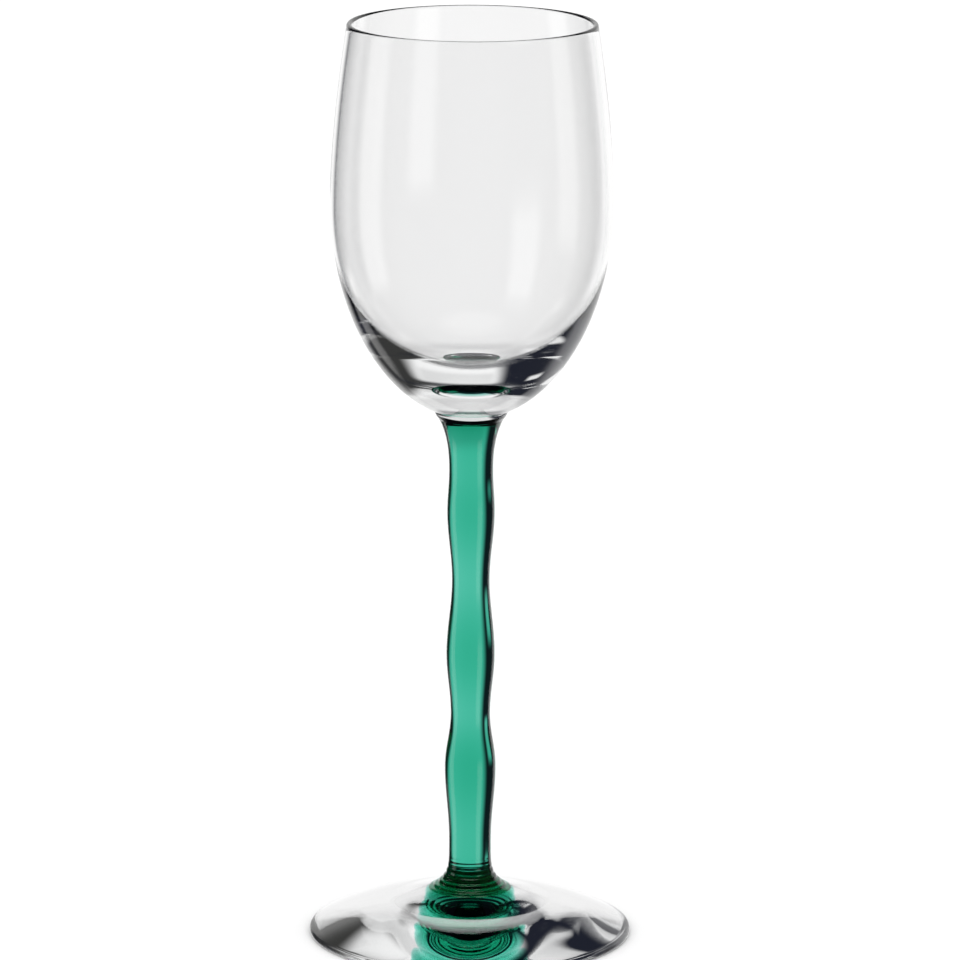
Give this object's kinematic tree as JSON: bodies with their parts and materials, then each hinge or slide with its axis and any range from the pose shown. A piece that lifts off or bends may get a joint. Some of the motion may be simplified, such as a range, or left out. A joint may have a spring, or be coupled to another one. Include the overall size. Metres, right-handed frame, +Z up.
{
  "type": "white wine glass",
  "caption": "Stemmed white wine glass: clear tulip bowl with a thick base, clear collar, wavy green glass stem and clear domed foot.",
  "frame": {"origin": "middle of the plane that the foot rests on", "axes": "+Z up along the axis of the glass, from the foot to the rim; the glass is round, so +X and +Y are free"},
  "size_m": [0.072, 0.072, 0.206],
  "materials": {
    "clear_glass": "polished",
    "green_glass": "polished"
  },
  "bodies": {
    "root": {"bowl": "clear_glass", "collar": "clear_glass", "stem": "green_glass", "foot": "clear_glass"}
  },
  "joints": []
}
